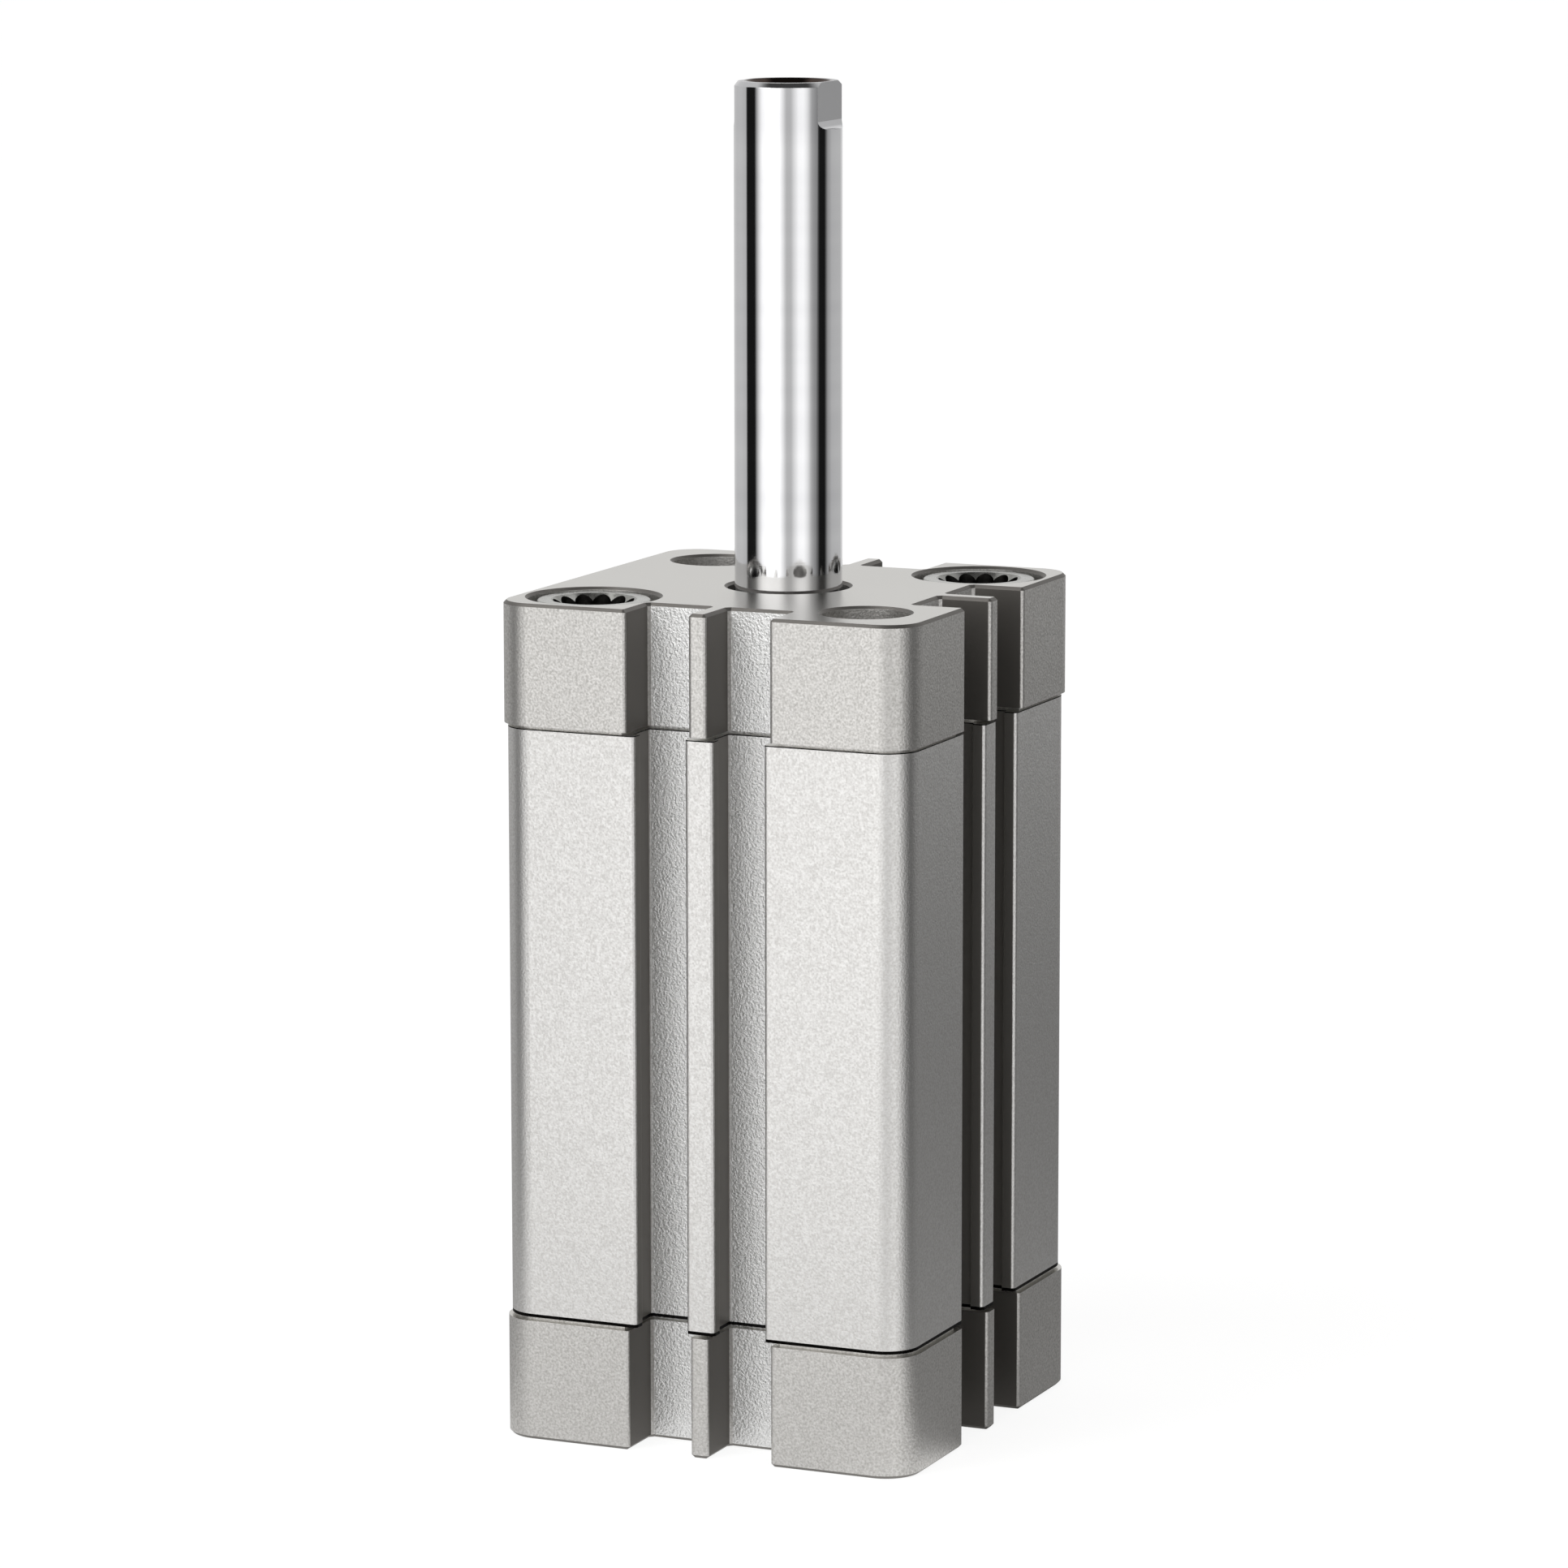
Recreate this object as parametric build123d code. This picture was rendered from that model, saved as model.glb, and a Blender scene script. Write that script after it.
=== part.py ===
"""Compact pneumatic cylinder, 32 mm bore and 50 mm stroke, shown with its rod out.

Millimetres. The origin is the centre of the end cap's outer face, and +Z runs along
the rod. The ports face -X. Each cap is first built with its outer face at height 0 and
its spigot upwards, and the bearing cap is then turned over onto the barrel.
"""

import math
import os

from build123d import *

# Bore and stroke
BORE_RADIUS = 16.0
STROKE = 50.0
STOP_CLEARANCE = 0.2

# Running and assembly clearances
ROD_CLEARANCE = 0.03
BORE_CLEARANCE = 0.05
SEAT_CLEARANCE = 0.05
THREAD_CLEARANCE = 0.02
PISTON_CLEARANCE = 0.3

# Caps
CAP_HEIGHT = 13.9
CAP_CORNER_RADIUS = 4.2
CAP_EDGE_CHAMFER = 0.35
CAP_RIB_WIDTH = 2.1
SEAT_STEP = 0.35
SEAT_INSET = 0.8
SPIGOT_LENGTH = 2.2

# Slots that run along the sides of the caps and the barrel
SLOT_WALL = 2.62
SLOT_EDGE_ROUND = 0.45
SLOT_FLOOR_CHAMFER = 0.3

# Barrel profile
BARREL_INSET = 0.4
LIP_REACH = 0.85
LIP_THICKNESS = 1.5
RIB_HEAD_WIDTH = 3.34
RIB_NECK_WIDTH = 2.0

# O-rings that seal the caps in the barrel's ends
O_RING_WIRE = 1.5

# Corner holes and collar screws
CORNER_WALL = 0.481
RECESS_OUTER_WALL = 1.2
RECESS_SLOT_WALL = 0.4
PLAIN_HOLE_RADIUS = 4.9
CORE_HOLE_RADIUS = 4.25
SCREW_THREAD_RADIUS = 5.0
SCREW_THREAD_LENGTH = 12.0
SCREW_HOLE_CLEARANCE = 0.1
SCREW_HEAD_RADIUS = 6.3
SCREW_HEAD_HEIGHT = 6.2
SCREW_HEAD_SUNK = 0.3
SCREW_HEAD_CHAMFER = 0.4
SCREW_RECESS_CLEARANCE = 1.0
HOLE_EDGE_CHAMFER = 0.3
SCREW_SOCKET_FLATS = 8.0
SCREW_SOCKET_DEPTH = 3.5
SCREW_SOCKET_TURN = 12.0
SCREW_SOCKET_CHAMFER = 0.6
SCREW_TAPPED_RADIUS = 3.0
TAPPED_END_ALLOWANCE = 0.5

# Supply ports
PORT_RADIUS = 4.86
PORT_DEPTH = 8.0
PORT_HEIGHT = 7.0
PORT_CHAMFER = 0.5
DUCT_RADIUS = 1.5
DUCT_INSET = 2.0

# Rod
ROD_RADIUS = 6.0
ROD_REACH_RETRACTED = 6.0
ROD_END_CHAMFER = 0.5
ROD_FLAT_DEPTH = 1.0
ROD_FLATS_LENGTH = 4.2
FLAT_RUN_OUT_RADIUS = 1.0
ROD_TAPPED_RADIUS = 4.0
ROD_TAPPED_LENGTH = 12.0
ROD_MOUTH_CHAMFER = 0.75
ROD_SPIGOT_RADIUS = 4.0
ROD_SPIGOT_CHAMFER = 0.5

# Rod passage in the bearing cap, from its outer face inwards
MOUTH_CLEARANCE = 0.85
MOUTH_CHAMFER = 0.3
MOUTH_LAND = 1.8
WIPER_HEIGHT = 2.6
WIPER_GROOVE_DEPTH = 1.55
SEAL_LAND = 0.8
LIP_SEAL_HEIGHT = 3.0
LIP_SEAL_GROOVE_DEPTH = 2.15
BUSH_LAND = 0.5
BUSH_SUNK = 0.4
BUSH_WALL = 1.47

# Piston
PISTON_LENGTH = 10.2
GUIDE_GROOVE_DEPTH = 1.1
GUIDE_HEIGHT = 3.2
MAGNET_POCKET_WALL = 1.0
MAGNET_WIDTH = 3.6
MAGNET_HEIGHT = 3.0
SEAL_GROOVE_DEPTH = 2.8
SEAL_GROOVE_HEIGHT = 1.7
SEAL_EDGE_LAND = 0.5
CUSHION_GROOVE_WALL = 0.9
CUSHION_WIDTH = 3.0
CUSHION_GROOVE_DEPTH = 1.0
CUSHION_PROUD = 0.6
ROD_O_RING_WIRE = 1.4
WASHER_RADIUS = 7.2
WASHER_HEIGHT = 1.0
NUT_FLATS = 13.0
NUT_HEIGHT = 4.0
ROD_PAST_NUT = 0.5
NUT_SIDE_CLEARANCE = 1.1
NUT_END_CLEARANCE = 2.4

# Corner hole sizes worked out from those above, from the bore outwards
SPIGOT_RADIUS = BORE_RADIUS - BORE_CLEARANCE
O_RING_GROOVE_RADIUS = SPIGOT_RADIUS + O_RING_WIRE + SEAT_CLEARANCE
O_RING_GROOVE_DEPTH = O_RING_WIRE + 2 * SEAT_CLEARANCE
HOLE_OFFSET = (O_RING_GROOVE_RADIUS + CORNER_WALL + SCREW_THREAD_RADIUS) / math.sqrt(2)
SCREW_HOLE_RADIUS = SCREW_THREAD_RADIUS + SCREW_HOLE_CLEARANCE
SCREW_RECESS_RADIUS = SCREW_HEAD_RADIUS + SCREW_RECESS_CLEARANCE

# Cap and barrel sizes worked out from those above
CAP_HALF = HOLE_OFFSET + SCREW_RECESS_RADIUS + RECESS_OUTER_WALL
CAP_WIDTH = 2 * CAP_HALF
SLOT_EDGE = HOLE_OFFSET - SCREW_RECESS_RADIUS - RECESS_SLOT_WALL
BARREL_HALF = CAP_HALF - BARREL_INSET
BARREL_WIDTH = 2 * BARREL_HALF
BARREL_CORNER_RADIUS = CAP_CORNER_RADIUS - BARREL_INSET
SLOT_FLOOR = BORE_RADIUS + SLOT_WALL
LIP_EDGE = SLOT_EDGE - LIP_REACH
FLANGE_HEIGHT = CAP_HEIGHT - SEAT_STEP
CAP_REACH = CAP_HEIGHT + SPIGOT_LENGTH
PISTON_STACK = PISTON_LENGTH + 2 * (CUSHION_PROUD + STOP_CLEARANCE)
BARREL_LENGTH = STROKE + PISTON_STACK + 2 * SPIGOT_LENGTH
BODY_LENGTH = 2 * CAP_HEIGHT + BARREL_LENGTH

# Rod passage sizes worked out from those above
ROD_BORE_RADIUS = ROD_RADIUS + ROD_CLEARANCE
MOUTH_RADIUS = ROD_RADIUS + MOUTH_CLEARANCE
WIPER_GROOVE_RADIUS = MOUTH_RADIUS + WIPER_GROOVE_DEPTH
LIP_SEAL_GROOVE_RADIUS = MOUTH_RADIUS + LIP_SEAL_GROOVE_DEPTH
LIP_SEAL_START = MOUTH_LAND + WIPER_HEIGHT + SEAL_LAND
BUSH_START = LIP_SEAL_START + LIP_SEAL_HEIGHT + BUSH_LAND
BUSH_END = CAP_REACH - BUSH_SUNK
BUSH_OUTER_RADIUS = ROD_BORE_RADIUS + BUSH_WALL
DUCT_OFFSET = SPIGOT_RADIUS - DUCT_INSET - DUCT_RADIUS

# Piston sizes worked out from those above, with its middle at the end of the stroke
PISTON_HALF = PISTON_LENGTH / 2
PISTON_RADIUS = BORE_RADIUS - PISTON_CLEARANCE
GUIDE_GROOVE_RADIUS = PISTON_RADIUS - GUIDE_GROOVE_DEPTH
MAGNET_OUTER_RADIUS = GUIDE_GROOVE_RADIUS - MAGNET_POCKET_WALL
MAGNET_INNER_RADIUS = MAGNET_OUTER_RADIUS - MAGNET_WIDTH
SEAL_GROOVE_RADIUS = PISTON_RADIUS - SEAL_GROOVE_DEPTH
CUSHION_OUTER_RADIUS = SEAL_GROOVE_RADIUS - CUSHION_GROOVE_WALL
CUSHION_INNER_RADIUS = CUSHION_OUTER_RADIUS - CUSHION_WIDTH
PISTON_MIDDLE = BODY_LENGTH - CAP_REACH - PISTON_STACK / 2
ROD_END = BODY_LENGTH + ROD_REACH_RETRACTED + STROKE
ROD_SHOULDER = PISTON_MIDDLE + PISTON_HALF
NUT_STACK = WASHER_HEIGHT + NUT_HEIGHT + ROD_PAST_NUT
ROD_TAIL = PISTON_MIDDLE - PISTON_HALF - NUT_STACK
NUT_CORNER_RADIUS = NUT_FLATS / math.sqrt(3)
NUT_RECESS_RADIUS = NUT_CORNER_RADIUS + NUT_SIDE_CLEARANCE
NUT_RECESS_DEPTH = NUT_STACK - CUSHION_PROUD + NUT_END_CLEARANCE

# Corners of a cap as it is built, and of the barrel at its lower end
SCREW_CORNERS = [(HOLE_OFFSET, -HOLE_OFFSET), (-HOLE_OFFSET, HOLE_OFFSET)]
PLAIN_CORNERS = [(-HOLE_OFFSET, -HOLE_OFFSET), (HOLE_OFFSET, HOLE_OFFSET)]
TURN_CAP_OVER = Pos(0, 0, BODY_LENGTH) * Rot(180, 0, 0)


def disc(radius, low, high):
    """A cylinder on the Z axis between two heights."""
    upwards = (Align.CENTER, Align.CENTER, Align.MIN)
    return Pos(0, 0, low) * Cylinder(radius, high - low, align=upwards)


def ring(inner, outer, low, high):
    """A tube on the Z axis between two heights."""
    return disc(outer, low, high) - disc(inner, low, high)


def countersink(radius, size):
    """The cone that breaks the edge of a hole whose mouth faces down at height 0."""
    upwards = (Align.CENTER, Align.CENTER, Align.MIN)
    return Cone(radius + size, radius, size, align=upwards)


def sided(sketch, turns):
    """Copies of a sketch for the -Y side, turned by quarters round the Z axis."""
    copies = Sketch()
    for turn in turns:
        copies += Rot(0, 0, 90 * turn) * sketch
    return copies


def slot_pair(near, far, floor, top):
    """Two rectangles either side of the middle of the -Y side."""
    width = far - near
    depth = top - floor
    middle = near + width / 2
    height = -(floor + depth / 2)
    slot = Rectangle(width, depth)
    return Pos(middle, height) * slot + Pos(-middle, height) * slot


def corners_at(sketch, reach):
    """The corners of a sketch that lie on the square of a half width, near its mid sides."""
    found = []
    for vertex in sketch.vertices():
        near, far = sorted((abs(vertex.X), abs(vertex.Y)))
        if abs(far - reach) < 0.001 and near < SLOT_EDGE + 0.001:
            found.append(vertex)
    return found


def cap_outline():
    """The cap's outline: slots with a thin rib between them on every side but the port side."""
    outline = RectangleRounded(CAP_WIDTH, CAP_WIDTH, CAP_CORNER_RADIUS)
    slots = slot_pair(CAP_RIB_WIDTH / 2, SLOT_EDGE, SLOT_FLOOR, CAP_WIDTH)
    outline -= sided(slots, (0, 1, 2))
    outline = fillet(corners_at(outline, CAP_HALF), SLOT_EDGE_ROUND)
    return chamfer(corners_at(outline, SLOT_FLOOR), SLOT_FLOOR_CHAMFER)


def seat_outline():
    """The raised face that meets the barrel, set in from the cap's outline."""
    width = CAP_WIDTH - 2 * SEAT_INSET
    outline = RectangleRounded(width, width, CAP_CORNER_RADIUS - SEAT_INSET)
    opening = slot_pair(0, SLOT_EDGE + SEAT_INSET, SLOT_FLOOR - SEAT_INSET, CAP_WIDTH)
    return outline - sided(opening, (0, 1, 2))


def barrel_outline():
    """The barrel's outline: two lipped sensor slots and a T-shaped rib on every side."""
    outline = RectangleRounded(BARREL_WIDTH, BARREL_WIDTH, BARREL_CORNER_RADIUS)
    lip_floor = BARREL_HALF - LIP_THICKNESS
    pockets = slot_pair(RIB_NECK_WIDTH / 2, SLOT_EDGE, SLOT_FLOOR, lip_floor)
    mouths = slot_pair(RIB_HEAD_WIDTH / 2, LIP_EDGE, SLOT_FLOOR, BARREL_WIDTH)
    outline -= sided(pockets + mouths, range(4))
    outline = fillet(corners_at(outline, BARREL_HALF), SLOT_EDGE_ROUND)
    return chamfer(corners_at(outline, SLOT_FLOOR), SLOT_FLOOR_CHAMFER / 2)


def barrel_profile():
    """The extruded barrel with its bore, O-ring counterbores and corner holes."""
    low = CAP_HEIGHT
    high = CAP_HEIGHT + BARREL_LENGTH
    barrel = Pos(0, 0, low) * extrude(barrel_outline(), BARREL_LENGTH)
    barrel -= disc(BORE_RADIUS, low, high)
    barrel -= disc(O_RING_GROOVE_RADIUS, low, low + O_RING_GROOVE_DEPTH)
    barrel -= disc(O_RING_GROOVE_RADIUS, high - O_RING_GROOVE_DEPTH, high)
    tapped = SCREW_THREAD_LENGTH + TAPPED_END_ALLOWANCE
    for x, y in SCREW_CORNERS + PLAIN_CORNERS:
        barrel -= Pos(x, y) * disc(CORE_HOLE_RADIUS, low, high)
    for x, y in SCREW_CORNERS:
        barrel -= Pos(x, y) * disc(SCREW_THREAD_RADIUS, low, low + tapped)
    for x, y in PLAIN_CORNERS:
        barrel -= Pos(x, y) * disc(SCREW_THREAD_RADIUS, high - tapped, high)
    return barrel


def supply_port():
    """The tapped port in the -X side and the two drillings that lead from it to the bore."""
    into_side = Pos(-CAP_HALF, 0, PORT_HEIGHT) * Rot(0, 90, 0)
    port = into_side * disc(PORT_RADIUS, 0, PORT_DEPTH)
    port += into_side * countersink(PORT_RADIUS, PORT_CHAMFER)
    port += into_side * disc(DUCT_RADIUS, 0, CAP_HALF - DUCT_OFFSET)
    return port + Pos(-DUCT_OFFSET, 0) * disc(DUCT_RADIUS, PORT_HEIGHT, CAP_REACH)


def cap_blank():
    """What both caps share: flange, seat, spigot, corner holes and supply port."""
    flange = extrude(cap_outline(), FLANGE_HEIGHT)
    flange = chamfer(flange.faces().sort_by(Axis.Z)[0].outer_wire().edges(), CAP_EDGE_CHAMFER)
    cap = flange + Pos(0, 0, FLANGE_HEIGHT) * extrude(seat_outline(), SEAT_STEP)
    cap += disc(SPIGOT_RADIUS, FLANGE_HEIGHT, CAP_REACH)
    recess = disc(SCREW_RECESS_RADIUS, 0, SCREW_HEAD_SUNK + SCREW_HEAD_HEIGHT)
    recess += countersink(SCREW_RECESS_RADIUS, HOLE_EDGE_CHAMFER)
    recess += disc(SCREW_HOLE_RADIUS, 0, CAP_HEIGHT)
    plain = disc(PLAIN_HOLE_RADIUS, 0, CAP_HEIGHT)
    plain += countersink(PLAIN_HOLE_RADIUS, HOLE_EDGE_CHAMFER)
    for x, y in SCREW_CORNERS:
        cap -= Pos(x, y) * recess
    for x, y in PLAIN_CORNERS:
        cap -= Pos(x, y) * plain
    return cap - supply_port()


def end_cap():
    """The closed cap, hollowed in the middle for the piston nut."""
    return cap_blank() - disc(NUT_RECESS_RADIUS, CAP_REACH - NUT_RECESS_DEPTH, CAP_REACH)


def bearing_cap():
    """The cap that the rod passes through, with its two seal grooves and bush seat."""
    passage = disc(MOUTH_RADIUS, 0, BUSH_START)
    passage += countersink(MOUTH_RADIUS, MOUTH_CHAMFER)
    passage += disc(WIPER_GROOVE_RADIUS, MOUTH_LAND, MOUTH_LAND + WIPER_HEIGHT)
    lip_seal_end = LIP_SEAL_START + LIP_SEAL_HEIGHT
    passage += disc(LIP_SEAL_GROOVE_RADIUS, LIP_SEAL_START, lip_seal_end)
    passage += disc(BUSH_OUTER_RADIUS, BUSH_START, CAP_REACH)
    return TURN_CAP_OVER * (cap_blank() - passage)


def rod_bearing_bush():
    """The plain bearing that guides the rod, pressed in below the seals."""
    bush = ring(ROD_BORE_RADIUS, BUSH_OUTER_RADIUS, BUSH_START, BUSH_END)
    return TURN_CAP_OVER * bush


def rod_seal(start, height, groove_radius):
    """A rod seal in its groove: a heel on the groove's floor and a lip on the rod."""
    low = start + SEAT_CLEARANCE
    high = start + height - SEAT_CLEARANCE
    outer = groove_radius - SEAT_CLEARANCE
    waist = (outer + ROD_BORE_RADIUS) / 2
    section = Polyline(
        (outer, low),
        (outer, high),
        (waist, high),
        (ROD_BORE_RADIUS, high - height / 4),
        (ROD_BORE_RADIUS, low + height / 4),
        (waist, low),
        close=True,
    )
    seal = revolve(make_face(Plane.XZ * section), Axis.Z)
    return TURN_CAP_OVER * seal


def cap_o_ring():
    """The O-ring round a cap's spigot, in the barrel's counterbore."""
    middle = (SPIGOT_RADIUS + O_RING_GROOVE_RADIUS) / 2
    return Pos(0, 0, CAP_HEIGHT + O_RING_GROOVE_DEPTH / 2) * Torus(middle, O_RING_WIRE / 2)


def collar_screw():
    """One collar screw, head down: twelve-point socket, and a tapped hole for the user's bolt."""
    head_top = SCREW_HEAD_SUNK
    head_foot = head_top + SCREW_HEAD_HEIGHT
    tip = CAP_HEIGHT + SCREW_THREAD_LENGTH
    head = disc(SCREW_HEAD_RADIUS, head_top, head_foot)
    head = chamfer(head.edges().sort_by(Axis.Z)[0], SCREW_HEAD_CHAMFER)
    screw = head + disc(SCREW_THREAD_RADIUS - THREAD_CLEARANCE, head_foot, tip)
    corner_radius = SCREW_SOCKET_FLATS / math.sqrt(3)
    socket = RegularPolygon(corner_radius, 6) + Rot(0, 0, 30) * RegularPolygon(corner_radius, 6)
    socket = Rot(0, 0, SCREW_SOCKET_TURN) * socket
    screw -= Pos(0, 0, head_top) * extrude(socket, SCREW_SOCKET_DEPTH)
    screw -= Pos(0, 0, head_top) * countersink(corner_radius, SCREW_SOCKET_CHAMFER)
    return screw - disc(SCREW_TAPPED_RADIUS, head_top, tip)


def collar_screws():
    """The two collar screws of a cap, in opposite corners."""
    return [Pos(x, y) * collar_screw() for x, y in SCREW_CORNERS]


def piston_rod():
    """The rod: tapped end with wrench flats, and a threaded spigot for the piston."""
    rod = disc(ROD_RADIUS, ROD_SHOULDER, ROD_END)
    rod = chamfer(rod.edges().sort_by(Axis.Z)[-1], ROD_END_CHAMFER)
    flat = ROD_RADIUS - ROD_FLAT_DEPTH
    flats_foot = ROD_END - ROD_FLATS_LENGTH
    block = Box(ROD_RADIUS, 2 * ROD_RADIUS, ROD_FLATS_LENGTH, align=Align.MIN)
    cutter = Pos(flat, -ROD_RADIUS, flats_foot) * block
    run_out = Rot(90, 0, 0) * Cylinder(FLAT_RUN_OUT_RADIUS, 2 * ROD_RADIUS)
    cutter += Pos(flat + FLAT_RUN_OUT_RADIUS, 0, flats_foot) * run_out
    rod -= cutter
    rod -= Rot(0, 0, 180) * cutter
    rod -= disc(ROD_TAPPED_RADIUS, ROD_END - ROD_TAPPED_LENGTH, ROD_END)
    mouth = countersink(ROD_TAPPED_RADIUS, ROD_MOUTH_CHAMFER)
    rod -= Pos(0, 0, ROD_END) * Rot(180, 0, 0) * mouth
    spigot = disc(ROD_SPIGOT_RADIUS, ROD_TAIL, ROD_SHOULDER)
    return rod + chamfer(spigot.edges().sort_by(Axis.Z)[0], ROD_SPIGOT_CHAMFER)


def piston_half():
    """The upper half of the piston, with its middle plane at height 0."""
    half = disc(PISTON_RADIUS, 0, PISTON_HALF)
    half -= disc(ROD_SPIGOT_RADIUS + THREAD_CLEARANCE, 0, PISTON_HALF)
    half -= ring(MAGNET_INNER_RADIUS, MAGNET_OUTER_RADIUS, 0, MAGNET_HEIGHT / 2)
    half -= ring(GUIDE_GROOVE_RADIUS, BORE_RADIUS, 0, GUIDE_HEIGHT / 2)
    groove_top = PISTON_HALF - SEAL_EDGE_LAND
    groove_foot = groove_top - SEAL_GROOVE_HEIGHT
    half -= ring(SEAL_GROOVE_RADIUS, BORE_RADIUS, groove_foot, groove_top)
    cushion_foot = PISTON_HALF - CUSHION_GROOVE_DEPTH
    half -= ring(CUSHION_INNER_RADIUS, CUSHION_OUTER_RADIUS, cushion_foot, PISTON_HALF)
    return half


def piston_front_half():
    """The half against the rod's shoulder, recessed for the rod's O-ring."""
    recess_foot = PISTON_HALF - ROD_O_RING_WIRE - SEAT_CLEARANCE
    recess_radius = ROD_SPIGOT_RADIUS + ROD_O_RING_WIRE + 2 * SEAT_CLEARANCE
    half = piston_half() - disc(recess_radius, recess_foot, PISTON_HALF)
    return Pos(0, 0, PISTON_MIDDLE) * half


def piston_rear_half():
    """The half that the nut and washer hold, the same shape turned over."""
    return Pos(0, 0, PISTON_MIDDLE) * Rot(180, 0, 0) * piston_half()


def rod_o_ring():
    """The O-ring under the rod's shoulder, which seals the rod in the piston."""
    height = PISTON_MIDDLE + PISTON_HALF - ROD_O_RING_WIRE / 2 - SEAT_CLEARANCE / 2
    middle = ROD_SPIGOT_RADIUS + SEAT_CLEARANCE + ROD_O_RING_WIRE / 2
    return Pos(0, 0, height) * Torus(middle, ROD_O_RING_WIRE / 2)


def piston_magnet():
    """The ring magnet that the sensors read, between the piston's halves."""
    height = MAGNET_HEIGHT / 2 - SEAT_CLEARANCE
    inner = MAGNET_INNER_RADIUS + SEAT_CLEARANCE
    outer = MAGNET_OUTER_RADIUS - SEAT_CLEARANCE
    return ring(inner, outer, PISTON_MIDDLE - height, PISTON_MIDDLE + height)


def piston_guide_ring():
    """The wear ring round the middle of the piston."""
    height = GUIDE_HEIGHT / 2 - SEAT_CLEARANCE
    inner = GUIDE_GROOVE_RADIUS + SEAT_CLEARANCE
    outer = BORE_RADIUS - BORE_CLEARANCE
    return ring(inner, outer, PISTON_MIDDLE - height, PISTON_MIDDLE + height)


def piston_seal(turned_over):
    """A lip seal in the piston's groove, its lip towards the near end of the piston."""
    high = PISTON_HALF - SEAL_EDGE_LAND - SEAT_CLEARANCE
    low = high - SEAL_GROOVE_HEIGHT + 2 * SEAT_CLEARANCE
    inner = SEAL_GROOVE_RADIUS + SEAT_CLEARANCE
    lip = BORE_RADIUS - BORE_CLEARANCE
    section = Polyline(
        (inner, low),
        (PISTON_RADIUS, low),
        (lip, (low + high) / 2),
        (lip, high),
        (inner, high),
        close=True,
    )
    seal = revolve(make_face(Plane.XZ * section), Axis.Z)
    return Pos(0, 0, PISTON_MIDDLE) * Rot(180 if turned_over else 0, 0, 0) * seal


def cushion_ring(turned_over):
    """The elastic ring in a piston face that meets a cap's spigot at the end of the stroke."""
    low = PISTON_HALF - CUSHION_GROOVE_DEPTH
    inner = CUSHION_INNER_RADIUS + SEAT_CLEARANCE
    outer = CUSHION_OUTER_RADIUS - SEAT_CLEARANCE
    cushion = ring(inner, outer, low, PISTON_HALF + CUSHION_PROUD)
    return Pos(0, 0, PISTON_MIDDLE) * Rot(180 if turned_over else 0, 0, 0) * cushion


def piston_washer():
    """The washer between the piston and its nut."""
    top = PISTON_MIDDLE - PISTON_HALF
    return ring(ROD_SPIGOT_RADIUS + THREAD_CLEARANCE, WASHER_RADIUS, top - WASHER_HEIGHT, top)


def piston_nut():
    """The hexagon nut that clamps the piston to the rod."""
    top = PISTON_MIDDLE - PISTON_HALF - WASHER_HEIGHT
    nut = extrude(RegularPolygon(NUT_CORNER_RADIUS, 6), NUT_HEIGHT)
    nut -= disc(ROD_SPIGOT_RADIUS + THREAD_CLEARANCE, 0, NUT_HEIGHT)
    return Pos(0, 0, top - NUT_HEIGHT) * nut


def build_parts():
    """Every sub-part in its place, by name."""
    return {
        "barrel_profile": barrel_profile(),
        "bearing_cap": bearing_cap(),
        "end_cap": end_cap(),
        "rod_bearing_bush": rod_bearing_bush(),
        "rod_wiper_seal": rod_seal(MOUTH_LAND, WIPER_HEIGHT, WIPER_GROOVE_RADIUS),
        "rod_lip_seal": rod_seal(LIP_SEAL_START, LIP_SEAL_HEIGHT, LIP_SEAL_GROOVE_RADIUS),
        "bearing_cap_o_ring": TURN_CAP_OVER * cap_o_ring(),
        "end_cap_o_ring": cap_o_ring(),
        "bearing_cap_collar_screws": [TURN_CAP_OVER * screw for screw in collar_screws()],
        "end_cap_collar_screws": collar_screws(),
        "piston_rod": piston_rod(),
        "piston_front_half": piston_front_half(),
        "piston_rear_half": piston_rear_half(),
        "piston_magnet": piston_magnet(),
        "piston_guide_ring": piston_guide_ring(),
        "piston_front_seal": piston_seal(turned_over=False),
        "piston_rear_seal": piston_seal(turned_over=True),
        "front_cushion_ring": cushion_ring(turned_over=False),
        "rear_cushion_ring": cushion_ring(turned_over=True),
        "rod_o_ring": rod_o_ring(),
        "piston_washer": piston_washer(),
        "piston_nut": piston_nut(),
    }


def main():
    """Writes one STEP file for each sub-part."""
    os.makedirs("parts", exist_ok=True)
    for name, shape in build_parts().items():
        part = Compound(children=shape) if isinstance(shape, list) else shape
        export_step(part, f"parts/{name}.step")


main()
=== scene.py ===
"""Studio scene of a compact pneumatic cylinder with its piston rod out.

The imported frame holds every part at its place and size. This script dresses those
parts, adds the threads and the collar screws in full detail, and sets up the camera,
floor and light. Lengths are in millimetres until a mesh is made, and Blender's are
in metres.
"""

from __future__ import annotations

import logging
import math
from collections.abc import Callable, Iterable
from dataclasses import dataclass, field
from enum import Enum

import bpy
from mathutils import Matrix, Vector

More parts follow.
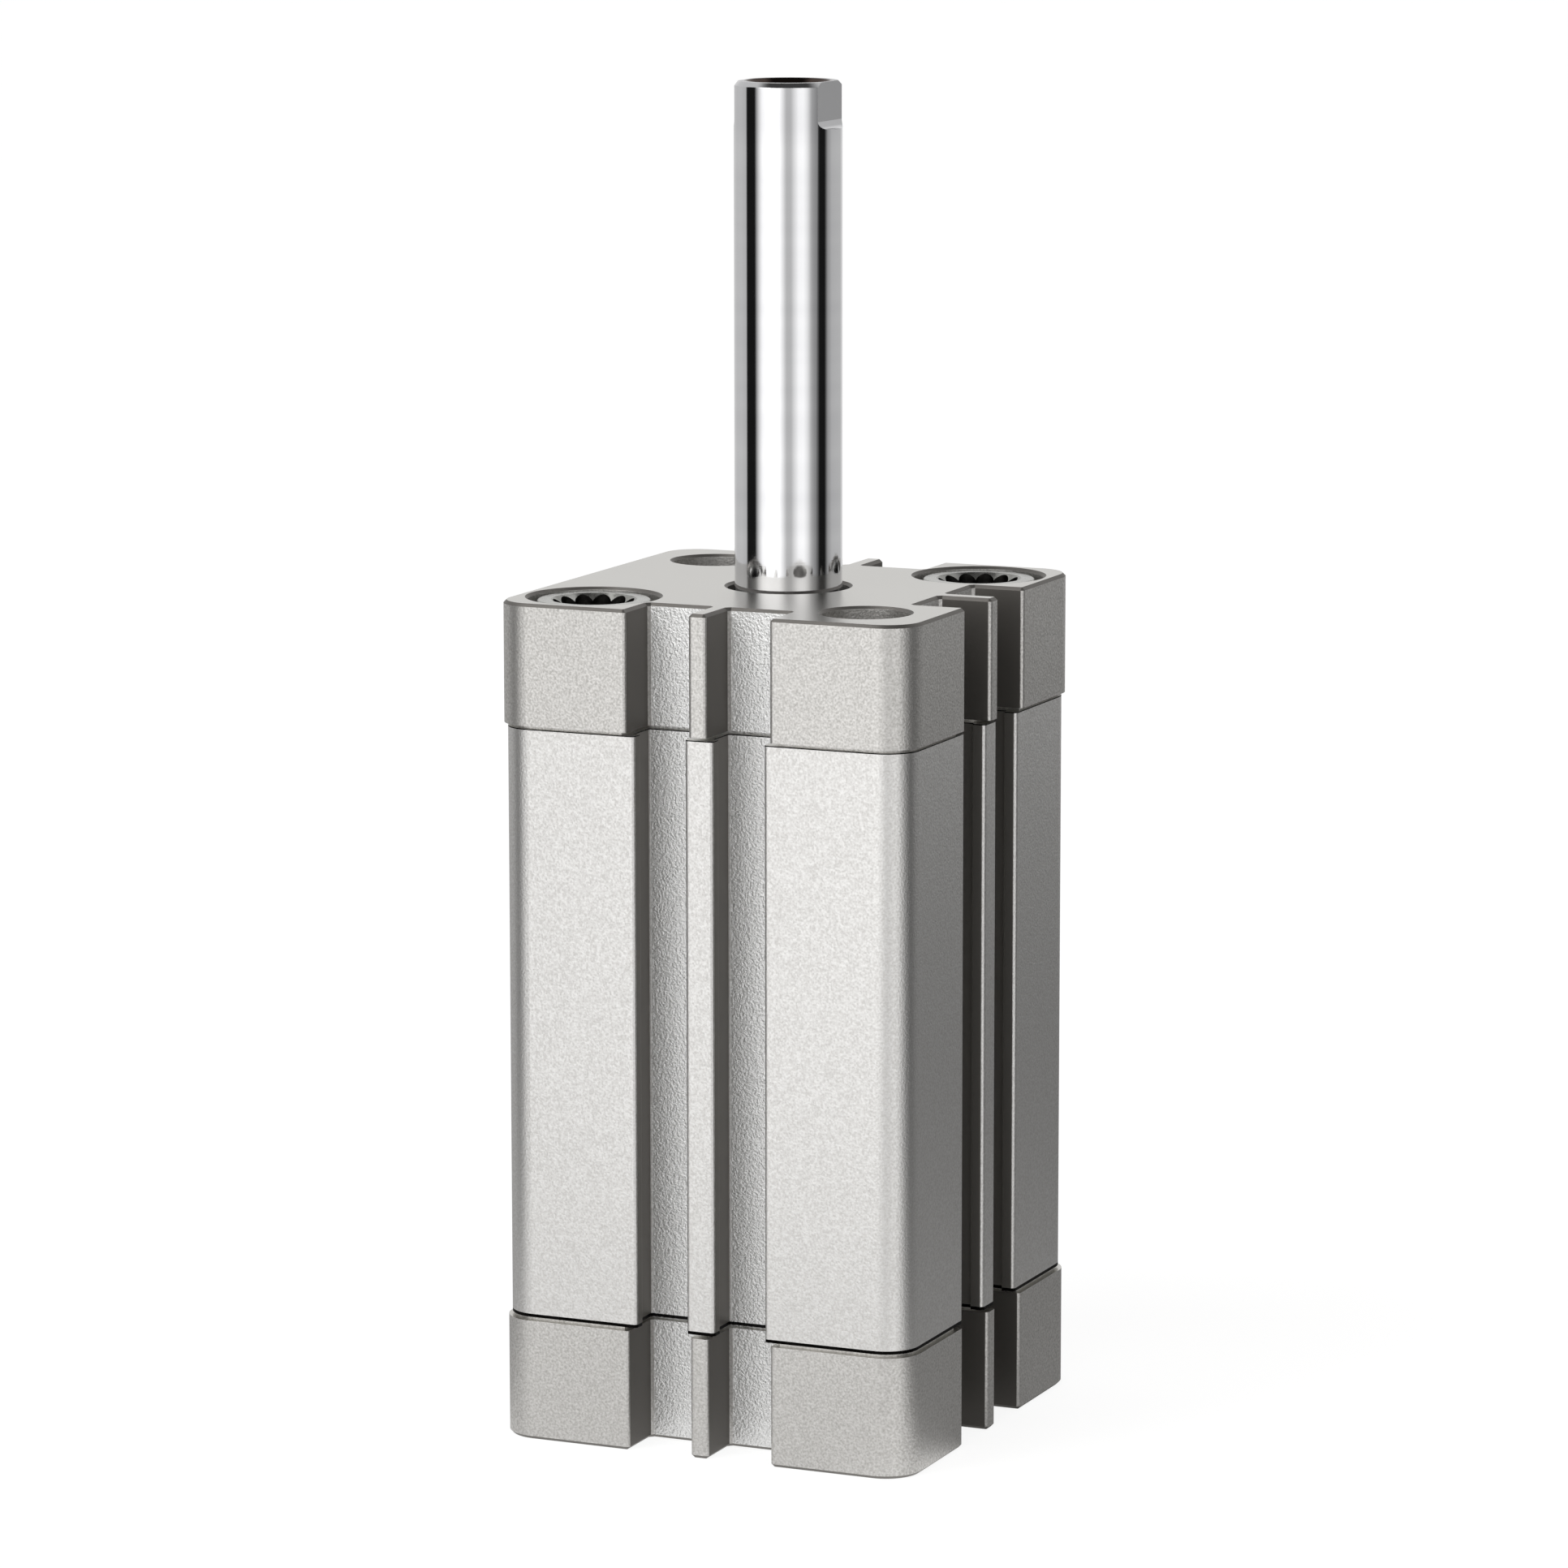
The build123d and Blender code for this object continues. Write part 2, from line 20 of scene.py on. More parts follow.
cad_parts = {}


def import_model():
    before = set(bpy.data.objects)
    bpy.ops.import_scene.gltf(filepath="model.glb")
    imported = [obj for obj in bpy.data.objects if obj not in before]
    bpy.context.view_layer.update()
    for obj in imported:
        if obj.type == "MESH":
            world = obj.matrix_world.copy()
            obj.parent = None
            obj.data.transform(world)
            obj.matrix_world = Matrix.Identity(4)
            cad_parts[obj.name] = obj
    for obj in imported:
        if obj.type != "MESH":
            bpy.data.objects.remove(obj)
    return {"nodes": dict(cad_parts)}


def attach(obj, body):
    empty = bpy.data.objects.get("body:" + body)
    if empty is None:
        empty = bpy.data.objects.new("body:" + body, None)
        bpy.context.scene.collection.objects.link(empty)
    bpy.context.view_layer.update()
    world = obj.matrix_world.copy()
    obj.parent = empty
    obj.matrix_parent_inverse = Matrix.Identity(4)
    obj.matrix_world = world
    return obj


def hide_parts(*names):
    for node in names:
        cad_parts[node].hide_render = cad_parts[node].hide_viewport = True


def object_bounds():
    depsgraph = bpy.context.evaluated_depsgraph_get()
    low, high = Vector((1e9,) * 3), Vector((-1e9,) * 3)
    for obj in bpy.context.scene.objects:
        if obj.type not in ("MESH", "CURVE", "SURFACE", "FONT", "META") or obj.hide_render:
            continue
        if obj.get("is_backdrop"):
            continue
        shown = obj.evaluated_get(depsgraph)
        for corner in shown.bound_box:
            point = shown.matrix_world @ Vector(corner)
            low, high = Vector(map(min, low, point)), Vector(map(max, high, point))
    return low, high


LOG = logging.getLogger("pneumatic_cylinder")
MM = 0.001  # metres
PHOTO_PIXELS = 1932
SENSOR_WIDTH = 36.0
WHITE = (1.0, 1.0, 1.0, 1.0)
NOISE_RANGE = (0.3, 0.7)  # nearly all of Blender's noise lies in it
FINE_DETAIL = 3.0
ROUND_Z_STRETCH = (0.02, 0.02, 1.0)  # draws spots out into lines round the Z axis
SQUARE = 0.98  # a face this square to an axis counts as square to it
SMOOTH_BELOW_DEG = 28.0

Socket = bpy.types.NodeSocket
Tree = bpy.types.NodeTree
Inputs = dict[str | int, object]
Ring = list[Vector]


class Body(Enum):
    """The moving bodies that pieces ride on."""

    HOUSING = "housing"
    ROD = "rod"


class Slot(Enum):
    """The record's material slots for the pieces made here."""

    CAP = "blasted_cap"
    CHROME = "hard_chromed_steel"
    ZINC = "zinc_plated_steel"


def linear_colour(hex_value: str) -> tuple[float, float, float, float]:
    """Turns an sRGB hex value into the linear colour that a shader takes.

    Args:
        hex_value: six hexadecimal digits after a hash mark.

    Returns:
        Red, green, blue and an alpha of one.
    """
    channels = [int(hex_value[place : place + 2], 16) / 255 for place in (1, 3, 5)]
    red, green, blue = (
        value / 12.92 if value <= 0.04045 else ((value + 0.055) / 1.055) ** 2.4
        for value in channels
    )
    return (red, green, blue, 1.0)


def add_node(
    tree: Tree, kind: str, inputs: Inputs | None = None, **settings: object
) -> bpy.types.Node:
    """Adds a shader node with its settings, and links or sets its inputs.

    Args:
        tree: the node tree that gets the node.
        kind: Blender's name for the type of node, without its first word.
        inputs: input names or numbers, each with a value, a socket to link from, or a
            node whose first live output is linked.
        **settings: attribute names and their values.

    Returns:
        The new node.
    """
    node = tree.nodes.new("ShaderNode" + kind)
    for name, value in settings.items():
        setattr(node, name, value)
    for name, value in (inputs or {}).items():
        if isinstance(value, bpy.types.Node):
            value = next(output for output in value.outputs if output.enabled)
        if isinstance(value, Socket):
            tree.links.new(value, node.inputs[name])
        else:
            node.inputs[name].default_value = value
    return node


def mottle(
    tree: Tree,
    place: Socket,
    width_mm: float,
    detail: float = 2.0,
    lines_round_z: bool = False,
) -> bpy.types.Node:
    """Irregular spots, or lines round the part's long axis, of a real size.

    Args:
        tree: the material's nodes.
        place: the object's own coordinates.
        width_mm: how wide a spot or line is.
        detail: how many finer layers lie on the first.
        lines_round_z: draws lines round the axis in place of spots.

    Returns:
        A node whose result runs from 0 to 1.
    """
    if lines_round_z:
        stretch = {"Vector": place, "Scale": ROUND_Z_STRETCH}
        place = add_node(tree, "Mapping", stretch).outputs[0]
    spots = {"Vector": place, "Scale": 1 / (width_mm * MM), "Detail": detail}
    noise = add_node(tree, "TexNoise", spots)
    low, high = NOISE_RANGE
    return add_node(tree, "MapRange", {"Value": noise, "From Min": low, "From Max": high})


def faces_square_to(tree: Tree, axis: str, least: float = SQUARE) -> bpy.types.Node:
    """Picks out the faces square to one of the part's own axes.

    Args:
        tree: the material's nodes.
        axis: X, Y or Z.
        least: how square a face has to be, up to 1.

    Returns:
        A node whose result is 1 on those faces and 0 elsewhere.
    """
    world = add_node(tree, "NewGeometry").outputs["True Normal"]
    to_object = {"vector_type": "NORMAL", "convert_from": "WORLD", "convert_to": "OBJECT"}
    own = add_node(tree, "VectorTransform", {"Vector": world}, **to_object)
    share = add_node(tree, "SeparateXYZ", {0: own}).outputs[axis]
    size = add_node(tree, "Math", {0: share}, operation="ABSOLUTE")
    return add_node(tree, "Math", {0: size, 1: least}, operation="GREATER_THAN")


def fill_ramp(ramp: bpy.types.ColorRamp, stops: Iterable[tuple[float, float]]) -> None:
    """Gives a colour ramp its grey stops.

    Args:
        ramp: the ramp to fill.
        stops: places from 0 to 1 in rising order, each with a brightness.
    """
    ramp.elements.remove(ramp.elements[-1])
    for index, (place, grey) in enumerate(stops):
        stop = ramp.elements[0] if index == 0 else ramp.elements.new(place)
        stop.position = place
        stop.color = (grey, grey, grey, 1.0)


@dataclass(frozen=True)
class PhotoCamera:
    """Where the photograph was taken from, fitted to the corners of the caps."""

    around_deg: float = 23.725
    down_deg: float = 9.607
    roll_deg: float = -0.059
    distance: float = 725.7
    sideways: float = -0.526
    height: float = 194.43
    focal_length_pixels: float = 8109.9
    nearest: float = 10.0
    farthest: float = 20000.0

    def place(self) -> None:
        """Makes the camera and sets it as the scene's own."""
        angles = (self.around_deg, self.down_deg, self.roll_deg)
        around, down, roll = (math.radians(angle) for angle in angles)
        level = Vector((math.cos(around), math.sin(around), 0.0))
        inwards = Vector((-math.sin(around), math.cos(around), 0.0))
        ahead = inwards * math.cos(down) - Vector((0.0, 0.0, math.sin(down)))
        upright = level.cross(ahead)
        right = level * math.cos(roll) + upright * math.sin(roll)
        up = upright * math.cos(roll) - level * math.sin(roll)
        spot = level * self.sideways - inwards * self.distance
        spot.z = self.height
        data = bpy.data.cameras.new("photo_camera")
        data.sensor_width = SENSOR_WIDTH
        data.lens = SENSOR_WIDTH * self.focal_length_pixels / PHOTO_PIXELS
        data.clip_start = self.nearest * MM
        data.clip_end = self.farthest * MM
        camera = bpy.data.objects.new("photo_camera", data)
        bpy.context.scene.collection.objects.link(camera)
        turn = Matrix((right, up, -ahead)).transposed().to_4x4()
        camera.matrix_world = Matrix.Translation(spot * MM) @ turn
        bpy.context.scene.camera = camera
        LOG.info("camera: %.0f mm lens, %.0f mm away", data.lens, self.distance)


@dataclass(frozen=True)
class Studio:
    """White floor, and the walls that the metal mirrors: softboxes, gaps and grey cloth.

    Each stop of walls is a direction in degrees from the front, turning towards the
    right side, with the brightness there. The two ends meet behind the object. In the
    floor the metal mirrors three rings. Nearest is paper, the paper in the object's own
    shade. From paper_end on come the walls, dimmed by shade out to shade_end.
    """

    floor_sides: int = 96
    floor_radius: float = 4000.0
    floor_colour: str = "#F4F4F3"
    floor_glow_share: float = 0.70
    floor_glow: float = 1.24
    floor_near: float = 0.90
    floor_near_reach: float = 550.0
    shade_start: float = 500.0
    shade_end: float = 640.0
    paper_start: float = 50.0
    paper_end: float = 220.0
    ceiling: float = 0.05
    ceiling_start: float = 0.80
    ceiling_full: float = 0.94
    lamp_energy: float = 3.0
    lamp_size: float = 500.0
    lamp_spot: tuple[float, float, float] = (-450.0, -550.0, 900.0)
    walls: tuple[tuple[float, float], ...] = (
        (-180.0, 0.70),
        (-156.0, 0.86),
        (-130.0, 0.62),
        (-116.0, 0.57),
        (-96.0, 0.58),
        (-77.0, 0.52),
        (-74.0, 0.01),
        (-51.0, 0.01),
        (-46.0, 0.40),
        (-41.0, 0.75),
        (-34.0, 1.16),
        (-22.0, 1.37),
        (4.0, 1.37),
        (12.0, 0.96),
        (20.0, 0.56),
        (29.0, 0.56),
        (37.0, 0.86),
        (46.0, 1.16),
        (56.0, 1.18),
        (64.0, 0.96),
        (74.0, 0.46),
        (84.0, 0.24),
        (93.0, 0.01),
        (108.0, 0.01),
        (117.0, 0.34),
        (130.0, 0.50),
        (147.0, 0.52),
        (169.0, 0.52),
        (180.0, 0.70),
    )
    shade: tuple[tuple[float, float], ...] = (
        (-180.0, 0.52),
        (-150.0, 0.60),
        (-120.0, 0.70),
        (-90.0, 0.78),
        (-72.0, 1.00),
        (70.0, 1.00),
        (95.0, 0.34),
        (165.0, 0.34),
        (180.0, 0.52),
    )
    paper: tuple[tuple[float, float], ...] = (
        (-180.0, 0.30),
        (-100.0, 0.42),
        (-75.0, 0.50),
        (-50.0, 0.84),
        (28.0, 0.84),
        (46.0, 1.04),
        (58.0, 0.98),
        (76.0, 0.28),
        (180.0, 0.30),
    )

    def build(self) -> None:
        """Makes the world, the floor and the one lamp."""
        self.build_world()
        self.build_floor()
        self.build_lamp()
        bpy.context.scene.view_settings.view_transform = "Standard"
        LOG.info("studio: world, floor and lamp")

    @staticmethod
    def round_about(
        tree: Tree, outwards: Socket, stops: tuple[tuple[float, float], ...]
    ) -> bpy.types.Node:
        """The brightness that lies in some direction from the object.

        Args:
            tree: the world's or the floor's nodes.
            outwards: a vector that points from the object.
            stops: directions in degrees, each with a brightness.

        Returns:
            The node with the brightness.
        """
        parts = add_node(tree, "SeparateXYZ", {0: outwards}).outputs
        front = add_node(tree, "Math", {0: parts["Y"], 1: -1.0}, operation="MULTIPLY")
        bearing = add_node(tree, "Math", {0: parts["X"], 1: front}, operation="ARCTAN2")
        circle = {0: bearing, 1: 1 / math.tau, 2: 0.5}
        share = add_node(tree, "Math", circle, operation="MULTIPLY_ADD")
        ramp = add_node(tree, "ValToRGB", {"Fac": share})
        fill_ramp(ramp.color_ramp, ((angle / 360 + 0.5, grey) for angle, grey in stops))
        return ramp

    def floor_light(self, tree: Tree, place: Socket) -> bpy.types.Node:
        """What the metal mirrors from the floor: the walls' light, dimmed by the object itself.

        Args:
            tree: the floor's nodes.
            place: the place on the floor, seen from the middle of the object.

        Returns:
            The node with the brightness.
        """
        away = add_node(tree, "VectorMath", {0: place}, operation="LENGTH").outputs["Value"]
        smooth = {"interpolation_type": "SMOOTHSTEP"}
        near = {"Value": away, "From Max": self.floor_near_reach * MM, "To Min": self.floor_near}
        dimmed = add_node(tree, "MapRange", near, **smooth)
        limits = {"From Min": self.shade_start * MM, "From Max": self.shade_end * MM}
        beyond = add_node(tree, "MapRange", {"Value": away, **limits}, **smooth)
        shade = {"Factor": beyond, "A": self.round_about(tree, place, self.shade), "B": WHITE}
        shaded = add_node(tree, "Mix", shade, data_type="RGBA")
        walls = {"Factor": 1.0, "A": self.round_about(tree, place, self.walls), "B": shaded}
        far = add_node(tree, "Mix", walls, data_type="RGBA", blend_type="MULTIPLY")
        limits = {"From Min": self.paper_start * MM, "From Max": self.paper_end * MM}
        clear = add_node(tree, "MapRange", {"Value": away, **limits}, **smooth)
        ends = {"Factor": clear, "A": self.round_about(tree, place, self.paper), "B": far}
        light = add_node(tree, "Mix", ends, data_type="RGBA")
        both = {"Factor": 1.0, "A": light, "B": dimmed}
        return add_node(tree, "Mix", both, data_type="RGBA", blend_type="MULTIPLY")

    def build_world(self) -> None:
        """A white background for the eye, and the studio's walls for everything else."""
        world = bpy.data.worlds.new("studio")
        world.use_nodes = True
        tree = world.node_tree
        tree.nodes.clear()
        direction = add_node(tree, "TexCoord").outputs["Generated"]
        height = add_node(tree, "SeparateXYZ", {0: direction}).outputs["Z"]
        limits = {"From Min": self.ceiling_start, "From Max": self.ceiling_full}
        rise = add_node(
            tree, "MapRange", {"Value": height, **limits}, interpolation_type="SMOOTHSTEP"
        )
        ceiling = (self.ceiling,) * 3 + (1.0,)
        both = {"Factor": rise, "A": self.round_about(tree, direction, self.walls), "B": ceiling}
        light = add_node(tree, "Mix", both, data_type="RGBA")
        studio = add_node(tree, "Background", {"Color": light})
        white = add_node(tree, "Background", {"Color": WHITE})
        seen = add_node(tree, "LightPath").outputs["Is Camera Ray"]
        surface = add_node(tree, "MixShader", {0: seen, 1: studio, 2: white})
        add_node(tree, "OutputWorld", {"Surface": surface})
        bpy.context.scene.world = world

    def build_floor(self) -> None:
        """A white floor that keeps the object's shadow, and for glossy rays glows with the walls'
        light and a painted shadow of the object.
        """
        rim = ring(self.floor_sides, lambda _: (self.floor_radius, 0.0))
        mesh = bpy.data.meshes.new("studio_floor")
        mesh.from_pydata([point * MM for point in rim], [], [list(range(len(rim)))])
        floor = bpy.data.objects.new("studio_floor", mesh)
        bpy.context.scene.collection.objects.link(floor)
        material = bpy.data.materials.new("white_paper")
        material.use_nodes = True
        tree = material.node_tree
        tree.nodes.clear()
        rays = add_node(tree, "LightPath").outputs
        place = add_node(tree, "TexCoord").outputs["Object"]
        paper = add_node(tree, "BsdfDiffuse", {"Color": linear_colour(self.floor_colour)})
        glow = add_node(tree, "Emission", {"Color": WHITE, "Strength": self.floor_glow})
        seen = add_node(tree, "MixShader", {0: self.floor_glow_share, 1: paper, 2: glow})
        lit = add_node(tree, "MixShader", {0: rays["Is Camera Ray"], 1: paper, 2: seen})
        # For glossy rays the floor glows: a painted reflection of the walls, with the object's
        # painted shadow from shade, paper and the near dimming.
        mirrored = add_node(tree, "Emission", {"Color": self.floor_light(tree, place)})
        surface = add_node(tree, "MixShader", {0: rays["Is Glossy Ray"], 1: lit, 2: mirrored})
        add_node(tree, "OutputMaterial", {"Surface": surface})
        mesh.materials.append(material)
        floor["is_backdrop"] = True

    def build_lamp(self) -> None:
        """One soft lamp above and to the left, for the shadow on the floor."""
        data = bpy.data.lights.new("soft_lamp", "AREA")
        data.energy = self.lamp_energy
        data.size = self.lamp_size * MM
        lamp = bpy.data.objects.new("soft_lamp", data)
        bpy.context.scene.collection.objects.link(lamp)
        lamp.location = Vector(self.lamp_spot) * MM
        lamp.rotation_euler = (-lamp.location).to_track_quat("-Z", "Y").to_euler()


@dataclass(frozen=True)
class Finish:
    """A surface that parts are dressed in. Each kind of finish says what its shader takes."""

    name: str

    def build(self) -> bpy.types.Material:
        """Makes the material.

        Returns:
            The material, with one shader on its output.
        """
        material = bpy.data.materials.new(self.name)
        material.use_nodes = True
        tree = material.node_tree
        tree.nodes.clear()
        place = add_node(tree, "TexCoord").outputs["Object"]
        shader = add_node(tree, "BsdfPrincipled", self.surface(tree, place))
        add_node(tree, "OutputMaterial", {"Surface": shader})
        LOG.info("finish: %s", self.name)
        return material

    def surface(self, tree: Tree, place: Socket) -> Inputs:
        """What the shader takes.

        Args:
            tree: the material's nodes.
            place: the object's own coordinates.

        Returns:
            The shader's inputs.
        """
        raise NotImplementedError


@dataclass(frozen=True)
class BlastedAluminium(Finish):
    """Aluminium blasted with glass beads and clear anodised.

    The blasting gives a soft, even sheen with a sparkle of grains. The faces square to
    the rod are milled and stay smoother, and their chamfers are painted darker, a painted
    reflection of the dark ceiling. The real grain is under 0.1 mm wide, and is drawn
    coarser so that it shows. The slot walls are painted darker with painted shade, and the
    slot floors near white with painted light. Past seam_below and seam_above lies a painted
    shadow in place of the dark gap against a neighbour, where there is one.
    """

    light: str
    dark: str
    milled: str
    grain_mm: float
    grain_depth_mm: float
    roughness: float
    roughness_swing: float = 0.05
    slot_half_width: float = 8.8
    slot_floor: float = 18.9
    # Painted light: the slot floors are painted near white, in place of the light that reaches
    # them.
    slot_floor_painted_light: str = "#FFFFFE"
    slot_floor_tone_share: float = 0.9
    slot_floor_roughness: float = 0.38
    slot_floor_metallic: float = 0.80
    slot_floor_relief: float = 5.0
    # Painted shade: the slot walls are painted darker, in place of the shade that falls in the
    # slots.
    slot_wall_painted_shade: str = "#85827E"
    slot_wall_roughness: float = 0.50
    milled_least_slope: float = 0.90
    milled_roughness: float = 0.30
    chamfer_least_slope: float = 0.60
    # Painted reflection: the chamfers are painted darker, as they mirror the dark ceiling.
    chamfer_painted_reflection: str = "#827F7B"
    chamfer_roughness: float = 0.45
    # Painted shadow: a near-black band at each end of the part stands in for the shade in the gap
    # against a neighbour.
    seam_painted_shadow: str = "#0F0E0D"
    seam_roughness: float = 0.60
    seam_below: float = -1.0
    seam_above: float = 1000.0
    edge_mm: float = 0.15

    def slot_faces(self, tree: Tree, place: Socket) -> list[bpy.types.Node]:
        """Picks out the floors and the walls of the sensor slots, which get painted light and
        painted shade.

        Args:
            tree: the material's nodes.
            place: the object's own coordinates.

        Returns:
            A node for the floors and one for the walls, each 1 on those faces.
        """
        offsets = add_node(tree, "VectorMath", {0: place}, operation="ABSOLUTE")
        sides = add_node(tree, "SeparateXYZ", {0: offsets}).outputs

        def within(axis: str, limit: float) -> bpy.types.Node:
            """Picks out what lies nearer to the part's middle than a limit."""
            near = {0: sides[axis], 1: limit * MM}
            return add_node(tree, "Math", near, operation="LESS_THAN")

        floors: Inputs = {}
        walls: Inputs = {}
        for index, (axis, other) in enumerate(("XY", "YX")):
            square = faces_square_to(tree, axis)
            wall = {0: square, 1: within(axis, self.slot_half_width)}
            walls[index] = add_node(tree, "Math", wall, operation="MULTIPLY")
            deep = {0: within(axis, self.slot_floor), 1: within(other, self.slot_half_width)}
            floor = {0: square, 1: add_node(tree, "Math", deep, operation="MULTIPLY")}
            floors[index] = add_node(tree, "Math", floor, operation="MULTIPLY")
        return [add_node(tree, "Math", kind, operation="MAXIMUM") for kind in (floors, walls)]

    def painted_seam_shadows(self, tree: Tree, place: Socket) -> bpy.types.Node:
        """Picks out the bands at the part's two ends, where it meets its neighbours, that get a
        painted shadow in place of the dark gaps.

        Args:
            tree: the material's nodes.
            place: the object's own coordinates.

        Returns:
            A node whose result is 1 in the gaps and 0 elsewhere.
        """
        height = add_node(tree, "SeparateXYZ", {0: place}).outputs["Z"]
        low = {0: height, 1: self.seam_below * MM}
        high = {0: height, 1: self.seam_above * MM}
        ends = (
            add_node(tree, "Math", low, operation="LESS_THAN"),
            add_node(tree, "Math", high, operation="GREATER_THAN"),
        )
        return add_node(tree, "Math", {0: ends[0], 1: ends[1]}, operation="MAXIMUM")

    def surface(self, tree: Tree, place: Socket) -> Inputs:
        """Speckled grain on the blasted faces, slot walls darkened with painted shade, slot floors
        lightened with painted light, chamfers with a painted reflection, painted seam shadows and
        smooth milled faces.

        Args:
            tree: the material's nodes.
            place: the object's own coordinates.

        Returns:
            The shader's inputs.
        """
        grain = mottle(tree, place, self.grain_mm, FINE_DETAIL)
        tones = {"A": linear_colour(self.dark), "B": linear_colour(self.light)}
        colour = add_node(tree, "Mix", {"Factor": grain, **tones}, data_type="RGBA")
        swing = self.roughness_swing
        gloss = {"To Min": self.roughness + swing, "To Max": self.roughness - swing}
        roughness = add_node(tree, "MapRange", {"Value": grain, **gloss})
        floors, walls = self.slot_faces(tree, place)
        # The chamfers' mask, for their painted reflection of the dark ceiling, takes in the milled
        # faces too, which cover it with their own tone.
        cut = faces_square_to(tree, "Z", self.chamfer_least_slope)
        milled = faces_square_to(tree, "Z", self.milled_least_slope)
        for share, strength, tone, rough in (
            # Slot floors: painted light.
            (floors, self.slot_floor_tone_share, self.slot_floor_painted_light, self.slot_floor_roughness),
            # Slot walls: painted shade.
            (walls, 1.0, self.slot_wall_painted_shade, self.slot_wall_roughness),
            # Seam bands: painted shadow.
            (self.painted_seam_shadows(tree, place), 1.0, self.seam_painted_shadow, self.seam_roughness),
            # Chamfers: painted reflection of the dark ceiling.
            (cut, 1.0, self.chamfer_painted_reflection, self.chamfer_roughness),
            (milled, 1.0, self.milled, self.milled_roughness),
        ):
            part = add_node(tree, "Math", {0: share, 1: strength}, operation="MULTIPLY")
            layer = {"Factor": part, "A": colour, "B": linear_colour(tone)}
            colour = add_node(tree, "Mix", layer, data_type="RGBA")
            sheen = {"Factor": share, "A": roughness, "B": rough}
            roughness = add_node(tree, "Mix", sheen, data_type="FLOAT")
        smooth = add_node(tree, "Math", {0: walls, 1: cut}, operation="MAXIMUM")
        heights = {"Factor": smooth, "A": grain, "B": 0.5}
        depth = self.grain_depth_mm * MM
        depths = {"Value": floors, "To Min": depth, "To Max": depth * self.slot_floor_relief}
        relief = {
            "Height": add_node(tree, "Mix", heights, data_type="FLOAT"),
            "Distance": add_node(tree, "MapRange", depths),
            "Normal": add_node(tree, "Bevel", {"Radius": self.edge_mm * MM}, samples=4),
        }
        metal = {"Value": floors, "To Min": 1.0, "To Max": self.slot_floor_metallic}
        return {
            "Base Color": colour,
            "Metallic": add_node(tree, "MapRange", metal),
            "Roughness": roughness,
            "Normal": add_node(tree, "Bump", relief),
        }


@dataclass(frozen=True)
class HardChromedSteel(Finish):
    """Ground steel rod with polished hard chrome.

    It mirrors the studio in upright bands. Grinding leaves faint lines round the rod,
    drawn wider than the real ones, which are about 0.02 mm. The milled flats and the
    turned end are duller than the chrome.
    """

    name: str = "hard_chromed_steel"
    light: str = "#F0F0F1"
    dark: str = "#DEDEE0"
    milled: str = "#BDBDBE"
    bore: str = "#574B46"
    roughness: float = 0.06
    roughness_swing: float = 0.02
    milled_roughness: float = 0.28
    line_mm: float = 0.15
    line_depth_mm: float = 0.0004
    band_mm: float = 6.0
    edge_mm: float = 0.08
    flats_foot: float = 144.8
    flats_least_slope: float = 0.995
    bore_radius: float = 4.82

    def surface(self, tree: Tree, place: Socket) -> Inputs:
        """Bright chrome with grinding lines, dull grey flats and end, and a dark brown bore.

        Args:
            tree: the material's nodes.
            place: the object's own coordinates.

        Returns:
            The shader's inputs.
        """
        lines = mottle(tree, place, self.line_mm, lines_round_z=True)
        bands = mottle(tree, place, self.band_mm, lines_round_z=True)
        height = add_node(tree, "SeparateXYZ", {0: place}).outputs["Z"]
        level = {0: place, 1: (1.0, 1.0, 0.0)}
        flattened = add_node(tree, "VectorMath", level, operation="MULTIPLY")
        radius = add_node(tree, "VectorMath", {0: flattened}, operation="LENGTH").outputs["Value"]
        inner = {0: radius, 1: self.bore_radius * MM}
        inside = add_node(tree, "Math", inner, operation="LESS_THAN")
        top = {0: height, 1: self.flats_foot * MM}
        above = add_node(tree, "Math", top, operation="GREATER_THAN")
        flats = {0: faces_square_to(tree, "X", self.flats_least_slope), 1: above}
        flat = add_node(tree, "Math", flats, operation="MULTIPLY")
        end = {0: flat, 1: faces_square_to(tree, "Z")}
        dull = add_node(tree, "Math", end, operation="MAXIMUM")
        dark, light, milled = (linear_colour(c) for c in (self.dark, self.light, self.milled))
        chrome = add_node(tree, "Mix", {"Factor": bands, "A": dark, "B": light}, data_type="RGBA")
        outer = add_node(tree, "Mix", {"Factor": dull, "A": chrome, "B": milled}, data_type="RGBA")
        # Inside bore_radius the colour is dark brown.
        colours = {"Factor": inside, "A": outer, "B": linear_colour(self.bore)}
        swing = self.roughness_swing
        gloss = {"To Min": self.roughness - swing, "To Max": self.roughness + swing}
        ground = add_node(tree, "MapRange", {"Value": bands, **gloss})
        roughness = {"Factor": dull, "A": ground, "B": self.milled_roughness}
        edges = add_node(tree, "Bevel", {"Radius": self.edge_mm * MM}, samples=4)
        relief = {"Height": lines, "Distance": self.line_depth_mm * MM, "Normal": edges}
        return {
            "Base Color": add_node(tree, "Mix", colours, data_type="RGBA"),
            "Metallic": 1.0,
            "Roughness": add_node(tree, "Mix", roughness, data_type="FLOAT"),
            "Normal": add_node(tree, "Bump", relief),
        }


